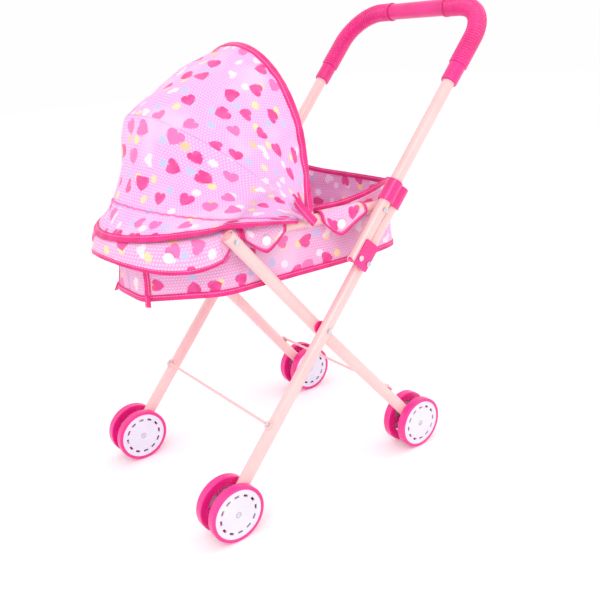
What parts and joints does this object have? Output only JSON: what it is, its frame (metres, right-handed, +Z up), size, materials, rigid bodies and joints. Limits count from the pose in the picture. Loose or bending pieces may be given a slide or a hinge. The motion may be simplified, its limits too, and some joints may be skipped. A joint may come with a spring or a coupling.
{
  "type": "doll stroller",
  "caption": "Folding doll stroller: crossed tube legs on twin wheels, push handle with locking sleeves, fabric carrycot on a U-shaped rail, folding hood.",
  "frame": {"origin": "on the ground, midway between the rearmost and foremost points, in the middle plane", "axes": "+X the direction of travel, +Y the stroller's left side, +Z up"},
  "size_m": [0.4763, 0.26, 0.54],
  "materials": {
    "tube_paint": "pale pink gloss enamel on steel tube",
    "pink_plastic": "hot pink moulded plastic",
    "grip_plastic": "hot pink ribbed hose",
    "wheel_plastic": "hot pink moulded plastic",
    "cap_plastic": "white moulded plastic with a lilac cast",
    "rivet_steel": "bright zinc-plated steel",
    "print_cloth": "thin woven cloth, lilac pink with a printed pattern of hearts and dots",
    "binding_tape": "hot pink folded binding tape",
    "bow_plastic": "plain plastic strip",
    "board": "cloth-covered board",
    "snap_plastic": "white plastic snap"
  },
  "bodies": {
    "front_frame": {"front_leg_left": "tube_paint", "front_leg_right": "tube_paint", "front_crossbar": "tube_paint", "front_crossbar_screws": "rivet_steel", "hinge_plate_left": "pink_plastic", "hinge_plate_right": "pink_plastic", "hinge_plate_rivets": "rivet_steel", "front_axles": "rivet_steel"},
    "rear_frame": {"rear_leg_left": "tube_paint", "rear_leg_right": "tube_paint", "rear_leg_plugs": "tube_paint", "rear_crossbar": "tube_paint", "rear_crossbar_screws": "rivet_steel", "cross_washers": "pink_plastic", "cross_rivets": "rivet_steel", "rail_front_rivets": "rivet_steel", "rear_axles": "rivet_steel"},
    "handle": {"handle_tube": "tube_paint", "handle_end_plugs": "pink_plastic", "fold_pivot_rivets": "rivet_steel", "rail_rear_rivets": "rivet_steel", "grip_hose_left": "grip_plastic", "grip_hose_right": "grip_plastic", "grip_centre_sleeve": "grip_plastic"},
    "lock_left": {"lock_sleeve_left": "pink_plastic"},
    "lock_right": {"lock_sleeve_right": "pink_plastic"},
    "carrycot": {"rail_tube": "tube_paint", "basket_shell": "print_cloth", "base_board": "board", "basket_bottom_binding": "binding_tape", "flap_front": "print_cloth", "snap_buttons": "snap_plastic", "flaps_middle": "print_cloth", "flaps_rear": "print_cloth", "hood_pivot_rivets": "rivet_steel", "hood_lower_cloth": "print_cloth", "hood_hem_binding": "binding_tape"},
    "hood_mid": {"hood_mid_bow": "bow_plastic", "hood_upper_cloth": "print_cloth", "hood_ribbons": "binding_tape"},
    "hood_front": {"hood_front_bow": "bow_plastic", "hood_opening_binding": "binding_tape"},
    "wheel_front_left_outer": {"front_wheel_left_outer": "wheel_plastic", "front_cap_left_outer": "cap_plastic"},
    "wheel_front_left_inner": {"front_wheel_left_inner": "wheel_plastic", "front_cap_left_inner": "cap_plastic"},
    "wheel_front_right_outer": {"front_wheel_right_outer": "wheel_plastic", "front_cap_right_outer": "cap_plastic"},
    "wheel_front_right_inner": {"front_wheel_right_inner": "wheel_plastic", "front_cap_right_inner": "cap_plastic"},
    "wheel_rear_left_outer": {"rear_wheel_left_outer": "wheel_plastic", "rear_cap_left_outer": "cap_plastic"},
    "wheel_rear_left_inner": {"rear_wheel_left_inner": "wheel_plastic", "rear_cap_left_inner": "cap_plastic"},
    "wheel_rear_right_outer": {"rear_wheel_right_outer": "wheel_plastic", "rear_cap_right_outer": "cap_plastic"},
    "wheel_rear_right_inner": {"rear_wheel_right_inner": "wheel_plastic", "rear_cap_right_inner": "cap_plastic"}
  },
  "joints": [
    {"name": "fold", "type": "hinge", "parent": "front_frame", "child": "handle", "pos_m": [-0.00193, 0, 0.2727], "axis": [0, 1, 0], "range_deg": [0, 125], "deforming": ["flaps_middle", "flaps_rear"]},
    {"name": "leg_cross", "type": "hinge", "parent": "front_frame", "child": "rear_frame", "pos_m": [0.04432, 0, 0.19779], "axis": [0, 1, 0], "range_deg": [0, 68.17]},
    {"name": "carrycot_swing", "type": "hinge", "parent": "handle", "child": "carrycot", "pos_m": [-0.0426, 0, 0.319], "axis": [0, 1, 0], "range_deg": [-81.35, 0]},
    {"name": "hood_fold", "type": "hinge", "parent": "carrycot", "child": "hood_mid", "pos_m": [0.04575, 0, 0.319], "axis": [0, 1, 0], "range_deg": [0, 22], "deforming": ["hood_lower_cloth"]},
    {"name": "hood_opening", "type": "hinge", "parent": "hood_mid", "child": "hood_front", "pos_m": [0.04575, 0, 0.319], "axis": [0, 1, 0], "range_deg": [0, 30.21], "deforming": ["hood_upper_cloth"]},
    {"name": "lock_left", "type": "slide", "parent": "handle", "child": "lock_left", "axis": [-0.66, 0, 0.7513], "range_m": [0, 0.025]},
    {"name": "lock_right", "type": "slide", "parent": "handle", "child": "lock_right", "axis": [-0.66, 0, 0.7513], "range_m": [0, 0.025]},
    {"name": "wheel_front_left_outer_spin", "type": "hinge", "parent": "front_frame", "child": "wheel_front_left_outer", "pos_m": [0.18935, 0.1125, 0.0327], "axis": [0, 1, 0], "continuous": true},
    {"name": "wheel_front_left_inner_spin", "type": "hinge", "parent": "front_frame", "child": "wheel_front_left_inner", "pos_m": [0.18935, 0.1125, 0.0327], "axis": [0, 1, 0], "continuous": true},
    {"name": "wheel_front_right_outer_spin", "type": "hinge", "parent": "front_frame", "child": "wheel_front_right_outer", "pos_m": [0.18935, -0.1125, 0.0327], "axis": [0, 1, 0], "continuous": true},
    {"name": "wheel_front_right_inner_spin", "type": "hinge", "parent": "front_frame", "child": "wheel_front_right_inner", "pos_m": [0.18935, -0.1125, 0.0327], "axis": [0, 1, 0], "continuous": true},
    {"name": "wheel_rear_left_outer_spin", "type": "hinge", "parent": "rear_frame", "child": "wheel_rear_left_outer", "pos_m": [-0.08985, 0.1125, 0.0327], "axis": [0, 1, 0], "continuous": true},
    {"name": "wheel_rear_left_inner_spin", "type": "hinge", "parent": "rear_frame", "child": "wheel_rear_left_inner", "pos_m": [-0.08985, 0.1125, 0.0327], "axis": [0, 1, 0], "continuous": true},
    {"name": "wheel_rear_right_outer_spin", "type": "hinge", "parent": "rear_frame", "child": "wheel_rear_right_outer", "pos_m": [-0.08985, -0.1125, 0.0327], "axis": [0, 1, 0], "continuous": true},
    {"name": "wheel_rear_right_inner_spin", "type": "hinge", "parent": "rear_frame", "child": "wheel_rear_right_inner", "pos_m": [-0.08985, -0.1125, 0.0327], "axis": [0, 1, 0], "continuous": true}
  ],
  "couplings": [
    {"joint": "leg_cross", "follows": "fold", "ratio": 0.5453},
    {"joint": "carrycot_swing", "follows": "fold", "ratio": -0.6507},
    {"joint": "hood_opening", "follows": "hood_fold", "ratio": 1.3727}
  ]
}
